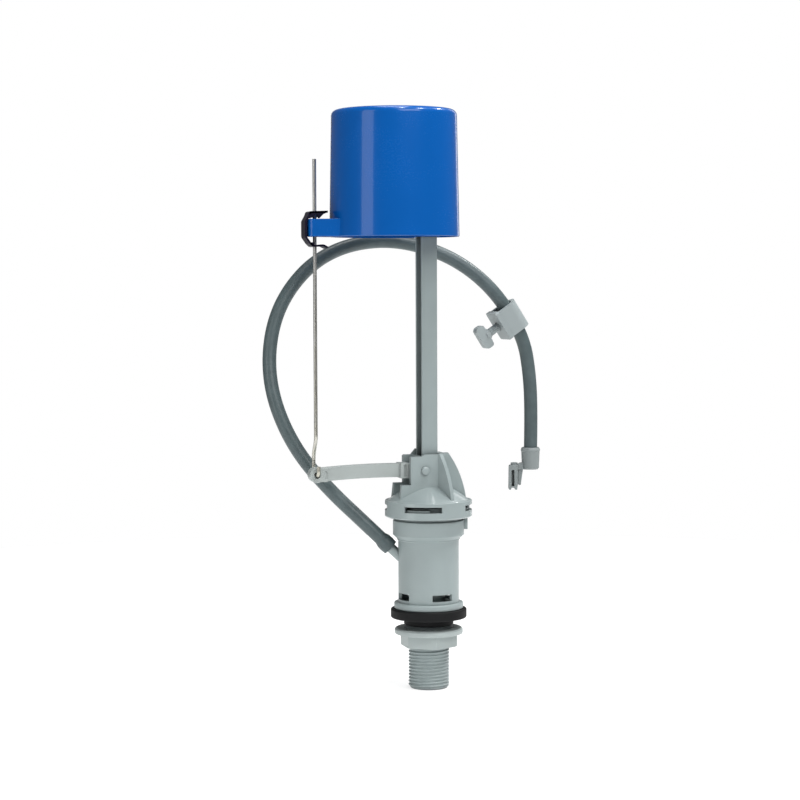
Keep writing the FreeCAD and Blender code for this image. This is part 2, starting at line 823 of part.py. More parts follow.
def lever_parts():
    """Lever arm with its eye for the link rod, its hub and its nose, and the pin it turns on."""
    bar = plate("LeverBar", (
        ("eye_x + 2", "bar_left_bottom", "-bar_bow"),
        ("block_front + 1", "bar_right_bottom"),
        ("block_front + 1", "bar_right_top", "bar_bow"),
        ("eye_x + 2", "bar_left_top"),
    ), "bar_width")
    eye = cylinder(
        "LeverEye", "eye_radius", "eye_width", ("eye_x", "-eye_width / 2", "eye_z"), ALONG_Y
    )
    eye_block = box(
        "EyeBlock",
        ("eye_block_end - eye_x", "eye_width", "2 * eye_radius - 0.8"),
        ("eye_x", "-eye_width / 2", "eye_z - eye_radius + 0.4"),
    )
    block = box(
        "LeverBlock",
        ("block_back - block_front", "block_width", "block_top - block_bottom"),
        ("block_front", "-block_width / 2", "block_bottom"),
    )
    neck = box(
        "LeverNeck",
        ("pin_x - block_back + 0.5", "tail_width", "block_top - block_bottom - 1.4"),
        ("block_back - 0.5", "-tail_width / 2", "block_bottom + 0.9"),
    )
    hub = cylinder(
        "LeverHub", "hub_radius", "hub_width", ("pin_x", "-hub_width / 2", "pin_z"), ALONG_Y
    )
    tail = box(
        "LeverTail",
        ("tail_end - pin_x", "tail_width", "pin_z - tail_bottom + 1"),
        ("pin_x", "-tail_width / 2", "tail_bottom"),
    )
    nose = box(
        "LeverNose",
        ("2 * nose_half", "tail_width", "tail_bottom - nose_bottom + 1"),
        ("-nose_half", "-tail_width / 2", "nose_bottom"),
    )
    eye_hole = cylinder(
        "EyeHole", "rod_radius + eye_slack", "3 * eye_width", ("eye_x", "-1.5 * eye_width", "eye_z"),
        ALONG_Y,
    )
    pin_hole = cylinder(
        "LeverPinHole", "pin_radius + pin_clearance", "2 * hub_width",
        ("pin_x", "-hub_width", "pin_z"), ALONG_Y,
    )
    grooves = []
    for side, edge in (("Front", "-block_width / 2"), ("Rear", "block_width / 2 - groove_depth")):
        grooves.append(box(
            f"Groove{side}",
            ("groove_width", "groove_depth", "block_top - block_bottom - 1.6"),
            ("(block_front + block_back - groove_width) / 2", edge, "block_bottom + 0.8"),
        ))
    for side, edge in (("Front", "-eye_width / 2"), ("Rear", "eye_width / 2 - groove_depth / 2")):
        grooves.append(box(
            f"EyeGroove{side}",
            ("groove_width", "groove_depth / 2", "eye_radius"),
            ("eye_block_end - groove_width - 0.4", edge, "eye_z - eye_radius / 2"),
        ))
    solid = fused("LeverSolid", bar, eye, eye_block, block, neck, hub, tail, nose)
    sub_part("lever_arm", cut("Lever", solid, eye_hole, pin_hole, *grooves))
    sub_part("lever_pin", cylinder(
        "LeverPin", "pin_radius", "pin_length", ("pin_x", "-pin_length / 2", "pin_z"), ALONG_Y
    ))


def link_rod():
    """Wire rod: straight through the float's bracket, stepped back past the eye, bent through it."""
    line = value("eye_x")
    side = value("rod_side")
    stub = value("rod_stub_side")
    eye = value("eye_z")
    points = (
        Vector(line, 0, value("rod_top")),
        Vector(line, 0, value("rod_jog_top")),
        Vector(line, side, value("rod_jog_bottom")),
        Vector(line, side, eye),
        Vector(line, stub, eye),
        Vector(line, stub, value("rod_stub_top")),
    )
    jog = value("rod_jog_bend")
    bend = value("rod_bend")
    sub_part("link_rod", pipe("LinkRod", points, (jog, jog, bend, bend), "rod_radius"))


def float_cup():
    """Inverted cup, open below, with a through sleeve for the post and a bracket for the rod."""
    shell = turned("FloatShell", (
        ("float_bottom_radius - float_wall", "float_bottom"),
        ("float_bottom_radius", "float_bottom"),
        ("float_top_radius", "float_top - float_edge", "float_edge"),
        ("float_top_radius - float_edge", "float_top"),
        ("0", "float_top"),
        ("0", "float_top - float_wall"),
        ("float_top_radius - float_edge", "float_top - float_wall", "-(float_edge - float_wall)"),
        ("float_top_radius - float_wall", "float_top - float_edge"),
    ))
    put(shell, ("float_x", "0", "0"))
    inside_x = "post_width + 2 * sleeve_clearance"
    inside_y = "post_depth + 2 * sleeve_clearance"
    sleeve = box(
        "Sleeve",
        (f"{inside_x} + 2 * sleeve_wall", f"{inside_y} + 2 * sleeve_wall",
         "float_top - float_wall + overlap - float_bottom"),
        (f"post_centre - ({inside_x}) / 2 - sleeve_wall", f"-({inside_y}) / 2 - sleeve_wall",
         "float_bottom"),
    )
    shaft = box(
        "SleeveHole",
        (inside_x, inside_y, "float_top - float_bottom + 2"),
        (f"post_centre - ({inside_x}) / 2", f"-({inside_y}) / 2", "float_bottom - 1"),
    )
    rib = box(
        "Rib",
        ("rib_thickness", "2 * (float_top_radius - float_wall - overlap)", "rib_height"),
        ("float_x - rib_thickness / 2", "-(float_top_radius - float_wall - overlap)",
         "float_top - float_wall + overlap - rib_height"),
    )
    bracket = box(
        "Bracket",
        ("float_x - float_bottom_radius + 1 - bracket_end", "bracket_width",
         "bracket_top - float_bottom"),
        ("bracket_end", "-bracket_width / 2", "float_bottom"),
    )
    rod_hole = cylinder(
        "RodHole", "bracket_hole", "bracket_top - float_bottom + 2",
        ("eye_x", "0", "float_bottom - 1"),
    )
    solid = fused("FloatSolid", shell, sleeve, bracket, rib)
    sub_part("float_cup", cut("Float", solid, shaft, rod_hole))


def level_clip():
    """Bent strip whose two legs grip the rod above and below the bracket."""
    sheet_metal = "clip_sheet"
    strip = plate("ClipStrip", (
        ("clip_tip", "clip_lower_tip"),
        ("clip_tip", f"clip_lower_tip + {sheet_metal}"),
        ("clip_corner + 0.4", f"clip_lower_corner + {sheet_metal}"),
        (f"clip_bow + {sheet_metal}", "clip_bow_bottom + 0.3"),
        (f"clip_bow + {sheet_metal}", "clip_bow_top - 0.3"),
        ("clip_corner + 0.4", f"clip_upper - {sheet_metal}"),
        ("clip_tip", f"clip_upper - {sheet_metal} - 0.1"),
        ("clip_tip", "clip_upper - 0.1"),
        ("clip_corner", "clip_upper"),
        ("clip_bow", "clip_bow_top"),
        ("clip_bow", "clip_bow_bottom"),
        ("clip_corner", "clip_lower_corner"),
    )[::-1], "clip_width")
    ears = []
    for side in (-1, 1):
        ear = plate(f"ClipEar{side + 1}", (
            ("clip_corner + 0.6", "clip_upper - 0.5"),
            ("eye_x - 1.6", "clip_ear_bottom"),
            ("eye_x + 1.4", "clip_ear_bottom"),
            ("clip_tip - 0.3", "clip_upper - 0.6"),
        ), sheet_metal)
        ears.append(put(ear, ("0", f"{side} * (clip_width - {sheet_metal}) / 2", "0")))
    hole = cylinder(
        "ClipHole", "clip_hole", "clip_upper - clip_lower_tip + 2",
        ("eye_x", "0", "clip_lower_tip - 1"),
    )
    sub_part("level_clip", cut("Clip", fused("ClipSolid", strip, *ears), hole))


def hose_radii(points):
    radii = []
    for index in range(1, len(points) - 1):
        before = points[index] - points[index - 1]
        after = points[index + 1] - points[index]
        half_turn = before.getAngle(after) / 2
        radii.append(0.45 * min(before.Length, after.Length) / math.tan(half_turn))
    return radii


def refill_hose():
    points = [Vector(*point) for point in HOSE_ROUTE]
    radii = hose_radii(points)
    hose = pipe("RefillHose", points, radii, "hose_radius")
    sub_part("refill_hose", hose)
    doc.recompute()
    length = rounded_path(points, radii).Length
    section = math.pi * value("hose_radius") ** 2
    print("hose bend radii", [round(radius, 1) for radius in radii])
    print(f"hose length {length:.1f}, volume over section x length "
          f"{hose.Shape.Volume / (section * length):.5f}")


def clamp_parts():
    """Pinch clamp on the hose. Its own frame has +Z along the hose and +X away from the screw."""
    begin = Vector(*HOSE_ROUTE[14])
    end = Vector(*HOSE_ROUTE[15])
    along = (begin - end).normalize()
    outward = Vector(0, 0, 1) - along * along.z
    outward.normalize()
    depth = along.cross(outward)
    turn = FreeCAD.Rotation(outward, depth, along, "ZXY")
    place = FreeCAD.Placement((begin + end) * 0.5, turn)
    half = "clamp_length / 2"

    round_back = cylinder("ClampRound", "clamp_outer", "clamp_length", ("0", "0", f"-{half}"))
    sides = box(
        "ClampSides",
        ("-clamp_inner", "clamp_depth", "clamp_length"),
        ("clamp_inner", "-clamp_depth / 2", f"-{half}"),
    )
    lip = box(
        "ClampLip",
        ("lip_thickness", "lip_depth", "lip_length"),
        ("clamp_inner - lip_thickness", "-lip_depth / 2", "-lip_length / 2"),
    )
    bore = cylinder("ClampBore", "clamp_bore", "2 * clamp_length", ("0", "0", "-clamp_length"))
    window = box(
        "ClampWindow",
        ("-clamp_inner", "2 * clamp_bore", "2 * clamp_length"),
        ("clamp_inner", "-clamp_bore", "-clamp_length"),
    )
    screw_way = cylinder(
        "ScrewWay", "screw_hole", "screw_reach", ("clamp_inner - lip_thickness - 1", "0", "0"), ALONG_X
    )
    clamp = cut("Clamp", fused("ClampSolid", round_back, sides, lip), bore, window, screw_way)
    shoe = plate("Shoe", (
        ("-clamp_bore - shoe_thickness", "-shoe_length / 2"),
        ("-clamp_bore", "-shoe_length / 2"),
        ("-clamp_bore", "shoe_length / 2"),
        ("-clamp_bore - shoe_thickness", "shoe_length / 2"),
    ), "shoe_width")
    shoe_back = "clamp_bore + shoe_thickness"
    shaft = cylinder(
        "ScrewShaft", "screw_radius", "screw_reach",
        (f"-({shoe_back}) - screw_reach", "0", "0"), ALONG_X,
    )
    wing = box(
        "ScrewWing",
        ("wing_height", "wing_thickness", "wing_span"),
        (f"-({shoe_back}) - screw_reach - wing_height + 1", "-wing_thickness / 2", "-wing_span / 2"),
    )
    screw = fused("Screw", shaft, wing)
    for label, solid in (("hose_clamp", clamp), ("clamp_shoe", shoe), ("clamp_screw", screw)):
        solid.Placement = place.multiply(solid.Placement)
        sub_part(label, solid)


def connector_parts():
    """Connector on the hose's end, and the hanger that it carries over the overflow pipe's rim."""
    end = Vector(*HOSE_ROUTE[-1])
    place = FreeCAD.Placement(end, about((0, 0, 1), -15))
    top = "connector_socket_depth"
    foot = "connector_socket_depth - connector_height"
    barrel = turned("Barrel", (
        ("0", foot),
        ("connector_foot_radius - 0.8", foot),
        ("connector_foot_radius", f"{foot} + 0.8"),
        ("connector_radius", f"{top} - 1.2"),
        ("connector_radius - 0.2", f"{top} - 0.3"),
        ("connector_radius - 0.5", top),
        ("0", top),
    ))
    arm = box(
        "Arm",
        ("arm_reach", "arm_width", "arm_height"),
        ("-arm_reach", "-arm_width / 2", foot),
    )
    socket = cylinder("Socket", "connector_socket", "connector_socket_depth + 1")
    bore = cylinder("ConnectorBore", "connector_bore", "connector_height + 1", ("0", "0", f"{foot} - 1"))
    connector = cut("Connector", fused("ConnectorSolid", barrel, arm), socket, bore)

    left = "-arm_reach - hanger_rib - hanger_width"
    hanger_top = f"{foot} + arm_height - hanger_drop + 1.6"
    body = box(
        "HangerBody",
        ("hanger_width", "hanger_depth", "hanger_height"),
        (left, "-hanger_depth / 2", f"{hanger_top} - hanger_height"),
    )
    rib = box(
        "HangerRib",
        ("hanger_rib + 0.1", "arm_width", "hanger_height - 4"),
        ("-arm_reach - hanger_rib - 0.1", "-arm_width / 2", f"{hanger_top} - hanger_height + 3"),
    )
    slot = box(
        "HangerSlot",
        ("hanger_slot", "2 * hanger_depth", "hanger_height - hanger_prong"),
        (f"{left} + hanger_prong", "-hanger_depth", f"{hanger_top} - hanger_height - 0.01"),
    )
    hanger = cut("Hanger", fused("HangerSolid", body, rib), slot)
    for label, solid in (("hose_connector", connector), ("overflow_hanger", hanger)):
        solid.Placement = place
        sub_part(label, solid)


inlet_shank()
casing()
seat_parts()
diaphragm_parts()
tank_fasteners()
cap()
plunger_parts()
guide_post()
lever_parts()
link_rod()
float_cup()
level_clip()
refill_hose()
clamp_parts()
connector_parts()
doc.recompute()

problems = []
for item in doc.Objects:
    if "Invalid" in item.State or "Error" in item.State:
        problems.append(f"{item.Label}: {item.State}")
for item in sub_parts:
    if item.Shape.isNull() or not item.Shape.isValid():
        problems.append(f"{item.Label}: no valid shape")
if problems:
    raise RuntimeError("; ".join(problems))

os.makedirs("parts", exist_ok=True)
for item in sub_parts:
    item.Shape.exportStep(f"parts/{item.Label}.step")
    size = item.Shape.BoundBox
    print(f"{item.Label:20s} solids {len(item.Shape.Solids)}  volume {item.Shape.Volume:9.1f}  "
          f"X {size.XMin:7.2f} {size.XMax:7.2f}  Y {size.YMin:7.2f} {size.YMax:7.2f}  "
          f"Z {size.ZMin:7.2f} {size.ZMax:7.2f}")
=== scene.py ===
"""Looks of a toilet fill valve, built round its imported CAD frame.

Lengths are in metres, save for the corners that outline() takes, which are in mm.
"""

import json
import math

import bmesh
import bpy
from mathutils import Matrix, Quaternion, Vector


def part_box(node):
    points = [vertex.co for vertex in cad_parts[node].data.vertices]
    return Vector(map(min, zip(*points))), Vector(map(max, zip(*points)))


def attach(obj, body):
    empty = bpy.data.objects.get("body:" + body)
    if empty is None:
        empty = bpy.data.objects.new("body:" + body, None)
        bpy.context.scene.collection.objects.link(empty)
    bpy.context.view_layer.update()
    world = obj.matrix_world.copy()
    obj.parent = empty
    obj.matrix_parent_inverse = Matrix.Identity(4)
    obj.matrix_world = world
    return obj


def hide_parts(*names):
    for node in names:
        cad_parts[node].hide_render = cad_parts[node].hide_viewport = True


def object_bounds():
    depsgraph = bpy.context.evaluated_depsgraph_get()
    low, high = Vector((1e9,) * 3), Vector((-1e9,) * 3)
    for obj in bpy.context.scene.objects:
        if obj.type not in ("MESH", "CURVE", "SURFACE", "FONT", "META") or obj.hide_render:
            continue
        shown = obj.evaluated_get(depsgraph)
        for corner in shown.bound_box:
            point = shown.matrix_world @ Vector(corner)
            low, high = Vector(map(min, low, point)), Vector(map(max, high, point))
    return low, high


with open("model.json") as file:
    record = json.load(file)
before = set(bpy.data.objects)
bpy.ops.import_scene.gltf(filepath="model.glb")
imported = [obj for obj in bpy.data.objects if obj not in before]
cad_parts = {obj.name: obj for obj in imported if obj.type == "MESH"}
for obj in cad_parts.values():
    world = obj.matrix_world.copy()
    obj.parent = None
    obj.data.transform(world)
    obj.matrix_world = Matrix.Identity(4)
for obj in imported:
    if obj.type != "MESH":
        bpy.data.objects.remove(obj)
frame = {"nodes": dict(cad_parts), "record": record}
cad_low, cad_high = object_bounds()

MM = 0.001
NODES = frame["nodes"]


# ---------------------------------------------------------------- materials

# Noise scales, in cells per metre.
FLOW_CLOUDS = 38.0
RUBBED_PATCHES = 260.0
MOULD_SPECKLE = 1500.0
COARSE_GRAIN = 320.0
FINE_GRAIN = 2600.0
RUBBER_MOTTLE = 220.0
RUBBER_BLOOM = 60.0
RUBBER_GRAIN = 240.0
RUBBER_SKIN = 1900.0
WIRE_SCRATCHES = 1400.0
WIRE_PATCHES = 90.0
FLOOR_CLOUDS = 1.4

# How much paler than the plain colour the rubbed edges and the dusty patches are.
RUBBED_TONE = 1.45
DUSTY_TONE = 1.9

# Sockets of a Mix node whose data are colours.
MIX_FIRST, MIX_SECOND, MIX_RESULT = 6, 7, 2


class Graph:
    """A material's node tree, with short ways to add and join its nodes."""

    def __init__(self, name):
        self.material = bpy.data.materials.new(name)
        self.material.use_nodes = True
        self.tree = self.material.node_tree
        self.shader = self.tree.nodes["Principled BSDF"]
        place = self.add("ShaderNodeTexCoord")
        self.place = place.outputs["Object"]

    def add(self, kind, **settings):
        node = self.tree.nodes.new(kind)
        for key, setting in settings.items():
            if hasattr(node, key):
                setattr(node, key, setting)
            else:
                node.inputs[key.replace("_", " ")].default_value = setting
        return node

    def join(self, output, target):
        self.tree.links.new(output, target)

    def stretched(self, scales):
        mapping = self.add("ShaderNodeMapping")
        mapping.inputs["Scale"].default_value = scales
        self.join(self.place, mapping.inputs["Vector"])
        return mapping.outputs["Vector"]

    def noise(self, scale, detail=2.0, vector=None, distortion=0.0):
        texture = self.add("ShaderNodeTexNoise", Scale=scale, Detail=detail, Distortion=distortion)
        self.join(vector or self.place, texture.inputs["Vector"])
        return texture.outputs["Fac"]

    def spread(self, source, low, high, start=0.3, stop=0.7):
        """The source's range from start to stop, widened or narrowed to low..high."""
        node = self.add("ShaderNodeMapRange", clamp=True)
        for key, number in (("From Min", start), ("From Max", stop), ("To Min", low), ("To Max", high)):
            node.inputs[key].default_value = number
        self.join(source, node.inputs["Value"])
        return node.outputs["Result"]

    def combined(self, first, second, operation="ADD"):
        node = self.add("ShaderNodeMath", operation=operation)
        for index, source in enumerate((first, second)):
            if isinstance(source, float):
                node.inputs[index].default_value = source
            else:
                self.join(source, node.inputs[index])
        return node.outputs["Value"]

    def mixed(self, factor, first, second):
        node = self.add("ShaderNodeMix", data_type="RGBA")
        self.join(factor, node.inputs["Factor"])
        for key, source in ((MIX_FIRST, first), (MIX_SECOND, second)):
            if isinstance(source, (tuple, list)):
                node.inputs[key].default_value = (*source, 1.0)
            else:
                self.join(source, node.inputs[key])
        return node.outputs[MIX_RESULT]

    def edges(self, radius):
        """0 on open faces, rising to 1 at convex and concave edges that a brush of that radius rounds."""
        soft = self.add("ShaderNodeBevel", samples=4)
        soft.inputs["Radius"].default_value = radius
        sharp = self.add("ShaderNodeNewGeometry")
        dot = self.add("ShaderNodeVectorMath", operation="DOT_PRODUCT")
        self.join(soft.outputs["Normal"], dot.inputs[0])
        self.join(sharp.outputs["Normal"], dot.inputs[1])
        return self.spread(dot.outputs["Value"], 1.0, 0.0, 0.80, 0.995)

    def painted_shade_mask(self, reach, wide=0.62):
        """1 on open faces, falling to 0 deep in slots and corners: the mask for painted shade, where
        little light reaches.
        """
        shelter = self.add("ShaderNodeAmbientOcclusion", samples=6)
        shelter.inputs["Distance"].default_value = reach
        return self.spread(shelter.outputs["AO"], 0.0, 1.0, 0.12, wide)

    def bump(self, height, strength, depth):
        node = self.add("ShaderNodeBump", Strength=strength, Distance=depth)
        self.join(height, node.inputs["Height"])
        self.join(node.outputs["Normal"], self.shader.inputs["Normal"])

    def level(self, **sockets):
        """Sets numbers that are the same all over the surface, on the shader's own sockets."""
        for key, number in sockets.items():
            self.shader.inputs[key.replace("_", " ")].default_value = number


def shade(colour, amount):
    return tuple(min(1.0, channel * amount) for channel in colour)


def plastic(
    name, colour, roughness=0.42, grain=0.12, mottle=0.05, wear=0.18, shade_tone=0.5, reach=5.0, wide=0.62,
    **sockets,
):
    """Moulded plastic: faint flow clouds, fine mould grain, uneven gloss, rubbed, paler edges and
    painted shade, with slots and corners darkened to the shade tone times the colour, as far as reach (mm)
    and wide say."""
    graph = Graph(name)
    clouds = graph.noise(FLOW_CLOUDS, 3.0, distortion=0.6)
    speckle = graph.noise(MOULD_SPECKLE, 2.0)
    body = graph.mixed(
        graph.spread(clouds, 0.0, 1.0), shade(colour, 1 - mottle), shade(colour, 1 + mottle)
    )
    patchy = graph.spread(graph.noise(RUBBED_PATCHES, 3.0), wear * 0.3, wear * 1.5)
    rubbed = graph.combined(graph.edges(0.35 * MM), patchy, "MULTIPLY")
    tinted = graph.mixed(rubbed, body, shade(colour, RUBBED_TONE))
    # Painted shade: the colour darkens in slots and corners, where little light reaches.
    graph.join(
        graph.mixed(graph.painted_shade_mask(reach * MM, wide=wide), shade(colour, shade_tone), tinted),
        graph.shader.inputs["Base Color"],
    )
    gloss = graph.combined(
        graph.spread(clouds, roughness * 0.9, roughness * 1.12),
        graph.spread(speckle, -0.03, 0.03),
    )
    graph.join(gloss, graph.shader.inputs["Roughness"])
    grainy = graph.combined(
        graph.combined(graph.noise(FINE_GRAIN, 1.0), 0.6, "MULTIPLY"),
        graph.combined(graph.noise(COARSE_GRAIN, 2.0), 1.2, "MULTIPLY"),
    )
    graph.bump(grainy, grain, 0.12 * MM)
    graph.level(**sockets)
    return graph.material


def rubber(name, colour, roughness, dusty, **sockets):
    """Rubber or soft vinyl: a mottled tone, a dusty bloom in patches and a fine matt skin."""
    graph = Graph(name)
    mottle = graph.noise(RUBBER_MOTTLE, 3.0)
    bloom = graph.noise(RUBBER_BLOOM, 4.0, distortion=0.4)
    body = graph.mixed(graph.spread(mottle, 0.0, 1.0), shade(colour, 0.90), shade(colour, 1.08))
    tinted = graph.mixed(graph.spread(bloom, 0.0, dusty, 0.42, 0.75), body, shade(colour, DUSTY_TONE))
    graph.join(tinted, graph.shader.inputs["Base Color"])
    graph.join(graph.spread(bloom, roughness * 0.88, roughness * 1.15), graph.shader.inputs["Roughness"])
    skin = graph.combined(graph.noise(RUBBER_SKIN, 2.0), graph.noise(RUBBER_GRAIN, 2.0))
    graph.bump(skin, 0.10, 0.10 * MM)
    graph.level(**sockets)
    return graph.material


def wire_steel(name, colour, tarnish, roughness):
    """Drawn wire: long scratches along it, uneven shine and a warmer tarnish towards its lower end."""
    graph = Graph(name)
    scratches = graph.noise(WIRE_SCRATCHES, 3.0, graph.stretched((1.0, 1.0, 0.04)))
    patches = graph.noise(WIRE_PATCHES, 3.0)
    height = graph.add("ShaderNodeSeparateXYZ")
    graph.join(graph.place, height.inputs["Vector"])
    low_down = graph.spread(height.outputs["Z"], 1.0, 0.15, 0.085, 0.20)
    stained = graph.combined(low_down, graph.spread(patches, 0.35, 1.0), "MULTIPLY")
    graph.join(graph.mixed(stained, colour, tarnish), graph.shader.inputs["Base Color"])
    graph.join(graph.spread(scratches, roughness * 0.7, roughness * 1.3), graph.shader.inputs["Roughness"])
    graph.bump(scratches, 0.25, 0.04 * MM)
    graph.level(Metallic=1.0)
    return graph.material


GREY = (0.299, 0.353, 0.355)
DULL = {"Specular_IOR_Level": 0.42}
# The tone given with each plastic is how dark its painted shade in slots and corners goes.
MATERIALS = {
    "casing_plastic": plastic("Casing plastic", GREY, 0.40, shade_tone=0.25, reach=6.0, **DULL),
    "cap_plastic": plastic(
        "Cap plastic", GREY, 0.36, shade_tone=0.18, reach=8.0, Coat_Weight=0.40, Coat_Roughness=0.05, **DULL,
    ),
    # The post's groove gets deep, wide painted shade.
    "post_plastic": plastic(
        "Post plastic", (0.275, 0.325, 0.327), 0.38, shade_tone=0.12, reach=14.0, wide=0.80,
        Specular_IOR_Level=0.40,
    ),
    "lever_plastic": plastic("Lever plastic", (0.355, 0.392, 0.384), 0.42, **DULL),
    "nut_plastic": plastic("Nut plastic", (0.365, 0.415, 0.411), 0.40, shade_tone=0.95, **DULL),
    "washer_plastic": plastic("Washer plastic", (0.115, 0.135, 0.138), 0.50, shade_tone=0.75),
    "clamp_plastic": plastic("Clamp plastic", (0.300, 0.340, 0.345), 0.45, **DULL),
    "connector_plastic": plastic("Connector plastic", (0.245, 0.275, 0.277), 0.45, shade_tone=0.7, **DULL),
    "screen_plastic": plastic("Screen plastic", (0.620, 0.620, 0.590), 0.50),
    "float_plastic": plastic(
        "Float plastic", (0.0, 0.094, 0.385), 0.24, grain=0.02, mottle=0.03, wear=0.05, shade_tone=0.85,
        Specular_IOR_Level=0.18, Coat_Weight=0.40, Coat_Roughness=0.035,
    ),
    "black_rubber": rubber("Black rubber", (0.0045, 0.005, 0.0055), 0.62, 0.12, Specular_IOR_Level=0.22),
    "hose_rubber": rubber("Hose rubber", (0.080, 0.108, 0.113), 0.38, 0.10, Specular_IOR_Level=0.40),
    "rod_steel": wire_steel("Rod steel", (0.50, 0.50, 0.49), (0.55, 0.53, 0.44), 0.34),
    "clip_steel": plastic(
        "Clip steel", (0.004, 0.003, 0.014), 0.32, grain=0.05, mottle=0.25, wear=0.5,
        Specular_IOR_Level=0.22, Coat_Weight=0.08, Coat_Roughness=0.15,
    ),
}


def look(thing, name):
    """Shows the thing in another material than its slot's own."""
    thing.data.materials[0] = MATERIALS[name]


# ---------------------------------------------------------------- the carried-over CAD nodes

SOFTENED_ANGLE = math.radians(32.0)


def soften(node, width, segments=2):
    """Rounds a node's sharp edges by modifiers alone, so that its mesh stays as packed."""
    weld = node.modifiers.new("Weld", "WELD")
    weld.merge_threshold = 0.002 * MM
    bevel = node.modifiers.new("Edges", "BEVEL")
    bevel.width = width
    bevel.segments = segments
    bevel.limit_method = "ANGLE"
    bevel.angle_limit = SOFTENED_ANGLE
    bevel.use_clamp_overlap = True
    bevel.harden_normals = False
    normals = node.modifiers.new("Normals", "WEIGHTED_NORMAL")
    normals.keep_sharp = True


for row in frame["record"]["subparts"]:
    node = NODES[row["node"]]
    node.data.materials.clear()
    node.data.materials.append(MATERIALS[row["material_slot"]])
    for face in node.data.polygons:
        face.use_smooth = True

look(NODES["guide_post"], "post_plastic")

# Radii of the moulded edges, in mm.
EDGES = {
    "valve_casing": 0.25, "cap": 0.30, "guide_post": 0.30, "lever_arm": 0.35, "lock_nut": 0.30,
    "tank_gasket": 0.25, "lever_pin": 0.35, "friction_washer": 0.15,
}
for name, width in EDGES.items():
    soften(NODES[name], width * MM)


# ---------------------------------------------------------------- mesh-code tools

# Frames that turn an outline's (x, y, height) to (X, Z, -Y), to (Y, Z, X) and to (Z, X, Y).
SIDE_ON = Matrix(((1, 0, 0, 0), (0, 0, -1, 0), (0, 1, 0, 0), (0, 0, 0, 1)))
ACROSS = Matrix(((0, 0, 1, 0), (1, 0, 0, 0), (0, 1, 0, 0), (0, 0, 0, 1)))
UPRIGHT = Matrix(((0, 1, 0, 0), (0, 0, 1, 0), (1, 0, 0, 0), (0, 0, 0, 1)))


def rounded(corners, closed=True, steps=6):
    """Points along straight runs whose corners (x, y, radius) are arcs; no radius means sharp."""
    points = []
    count = len(corners)
    for index, corner in enumerate(corners):
        here = Vector(corner[:2])
        radius = corner[2] if len(corner) > 2 else 0.0
        if not radius or (not closed and index in (0, count - 1)):
            points.append(here)
            continue
        back = Vector(corners[index - 1][:2]) - here
        on = Vector(corners[(index + 1) % count][:2]) - here
        half = back.angle(on) / 2
        reach = min(radius / math.tan(half), 0.49 * back.length, 0.49 * on.length)
        start = here + back.normalized() * reach
        stop = here + on.normalized() * reach
        middle = here + (back.normalized() + on.normalized()).normalized() * (reach / math.cos(half))
        sweep = (start - middle).angle_signed(stop - middle)
        for step in range(steps + 1):
            points.append(middle + Matrix.Rotation(-sweep * step / steps, 2) @ (start - middle))
    return points


def outline(corners, closed=True, steps=6):
    """The same, in metres, from corners in mm."""
    return rounded([tuple(number * MM for number in corner) for corner in corners], closed, steps)


def box_outline(low_x, low_y, high_x, high_y, radius=0.0):
    """A rectangle's outline, in metres, from its sides and corner radius in mm."""
    return outline((
        (low_x, low_y, radius), (high_x, low_y, radius), (high_x, high_y, radius), (low_x, high_y, radius),
    ))


def half_round(radius):
    """Corners along half a circle, from -Y over +X to +Y."""
    turns = [math.radians(turn) for turn in range(-90, 91, 6)]
    return [(radius * math.cos(turn), radius * math.sin(turn)) for turn in turns]


def ribbon(points, thickness):
    """Closed outline of a strip of that thickness along a line of points."""
    left, right = [], []
    for index, point in enumerate(points):
        ahead = points[min(index + 1, len(points) - 1)] - points[max(index - 1, 0)]
        side = Vector((-ahead.y, ahead.x)).normalized() * thickness / 2
        left.append(point + side)
        right.append(point - side)
    return left + right[::-1]


def ring(work, radius, height, segments, place):
    """Vertices round the Z axis of place."""
    return [
        work.verts.new(place @ Vector((
            radius * math.cos(math.tau * step / segments),
            radius * math.sin(math.tau * step / segments), height,
        )))
        for step in range(segments)
    ]


def bridge(work, lower, upper):
    """Faces all the way round, between two rings with the same number of vertices."""
    for step in range(len(lower)):
        work.faces.new((lower[step - 1], lower[step], upper[step], upper[step - 1]))


def lathe(work, profile, segments=96, place=Matrix.Identity(4)):
    """A closed profile of (radius, height) turned about the Z axis of place."""
    rings = [ring(work, radius, height, segments, place) for radius, height in profile]
    for lower, upper in zip(rings, rings[1:] + rings[:1]):
        bridge(work, lower, upper)


def slab(work, loops, low, high, place=Matrix.Identity(4)):
    """A flat solid from low to high: the first loop is its outline, and any others are holes."""
    levels = []
    for height in (low, high):
        edges = []
        level = []
        for loop in loops:
            verts = [work.verts.new(place @ Vector((point[0], point[1], height))) for point in loop]
            edges += [work.edges.new((verts[step - 1], verts[step])) for step in range(len(verts))]
            level.append(verts)
        bmesh.ops.triangle_fill(work, use_beauty=True, use_dissolve=False, edges=edges)
        levels.append(level)
    for lower, upper in zip(*levels):
        bridge(work, lower, upper)


def circle(x, y, radius, count=32):
    turns = [math.tau * step / count for step in range(count)]
    return [Vector((x + radius * math.cos(turn), y + radius * math.sin(turn))) for turn in turns]


def piece(name, work, slot, body, bevel=0.0, segments=2, sharp=35.0):
    """Turns the work into a smooth-shaded object with its material, riding on that body."""
    bmesh.ops.remove_doubles(work, verts=work.verts, dist=0.0005 * MM)
    wires = [edge for edge in work.edges if not edge.link_faces]
    bmesh.ops.delete(work, geom=wires, context="EDGES")
    bmesh.ops.recalc_face_normals(work, faces=work.faces)
    for face in work.faces:
        face.smooth = True
    for edge in work.edges:
        if len(edge.link_faces) != 2 or edge.calc_face_angle(0.0) > math.radians(sharp):
            edge.smooth = False
    mesh = bpy.data.meshes.new(name)
    work.to_mesh(mesh)
    work.free()
    thing = bpy.data.objects.new(name, mesh)
    bpy.context.scene.collection.objects.link(thing)
    mesh.materials.append(MATERIALS[slot])
    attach(thing, body)
    if bevel:
        soften(thing, bevel, segments)
    return thing


# ---------------------------------------------------------------- threaded shank

